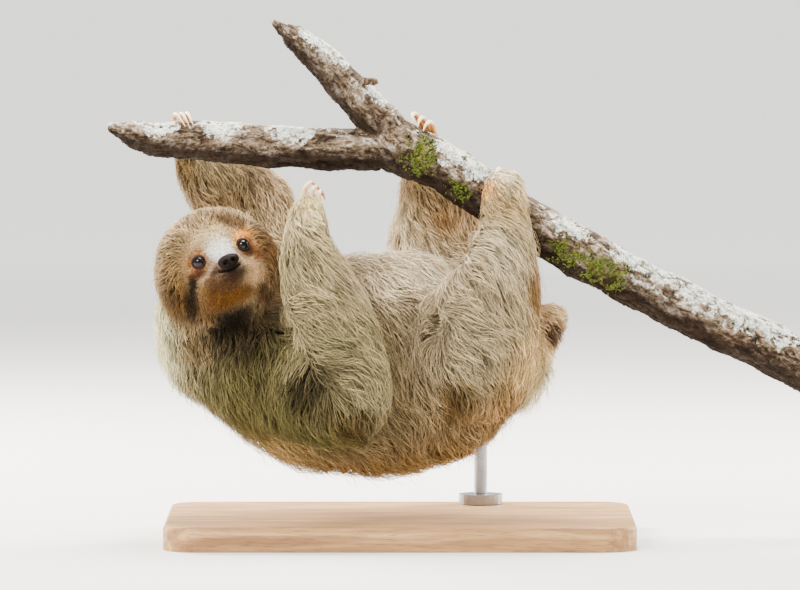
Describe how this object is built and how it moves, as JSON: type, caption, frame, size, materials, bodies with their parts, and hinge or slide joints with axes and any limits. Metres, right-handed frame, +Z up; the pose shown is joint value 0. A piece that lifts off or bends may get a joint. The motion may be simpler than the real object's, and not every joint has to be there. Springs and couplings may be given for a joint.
{
  "type": "three-toed sloth hanging from a branch, on a display stand",
  "caption": "Life-size still model of a three-toed sloth hanging under a forked branch, face turned to the viewer, held by a plain wooden base and steel rod.",
  "frame": {"origin": "centre of the flat underside of the stand's base, where it rests on a table or floor", "axes": "+Z up; +X from the sloth's head towards its tail, along the branch; -Y towards the viewer whom the face looks at"},
  "size_m": [0.6482, 0.27, 0.4673],
  "materials": {
    "coat": "long coarse shaggy grey-brown hair with an olive tinge",
    "face_coat": "short dense face hair, pale brow, dark eye stripe and orange-brown throat",
    "eye": "wet dark brown",
    "nose": "bare, finely grained, slightly moist",
    "claw": "pale horn, satin",
    "bark": "rough weathered bark with pale lichen and green moss",
    "oak": "oiled pale oak",
    "steel": "satin"
  },
  "bodies": {
    "root": {"head": "face_coat", "neck": "coat", "trunk": "coat", "tail": "coat", "upper_arm_right": "coat", "forearm_right": "coat", "hand_right": "coat", "upper_arm_left": "coat", "forearm_left": "coat", "hand_left": "coat", "thigh_right": "coat", "shank_right": "coat", "foot_right": "coat", "thigh_left": "coat", "shank_left": "coat", "foot_left": "coat", "eye_left": "eye", "eye_right": "eye", "nose": "nose", "claw_right_hand_1": "claw", "claw_right_hand_2": "claw", "claw_right_hand_3": "claw", "claw_left_hand_1": "claw", "claw_left_hand_2": "claw", "claw_left_hand_3": "claw", "claw_right_foot_1": "claw", "claw_right_foot_2": "claw", "claw_right_foot_3": "claw", "claw_left_foot_1": "claw", "claw_left_foot_2": "claw", "claw_left_foot_3": "claw", "perch_main": "bark", "perch_spur": "bark", "perch_side_arm": "bark", "stand_base": "oak", "stand_flange": "steel", "stand_post": "steel", "stand_knuckle": "steel", "stand_arm": "steel", "stand_cup": "steel"}
  },
  "joints": []
}
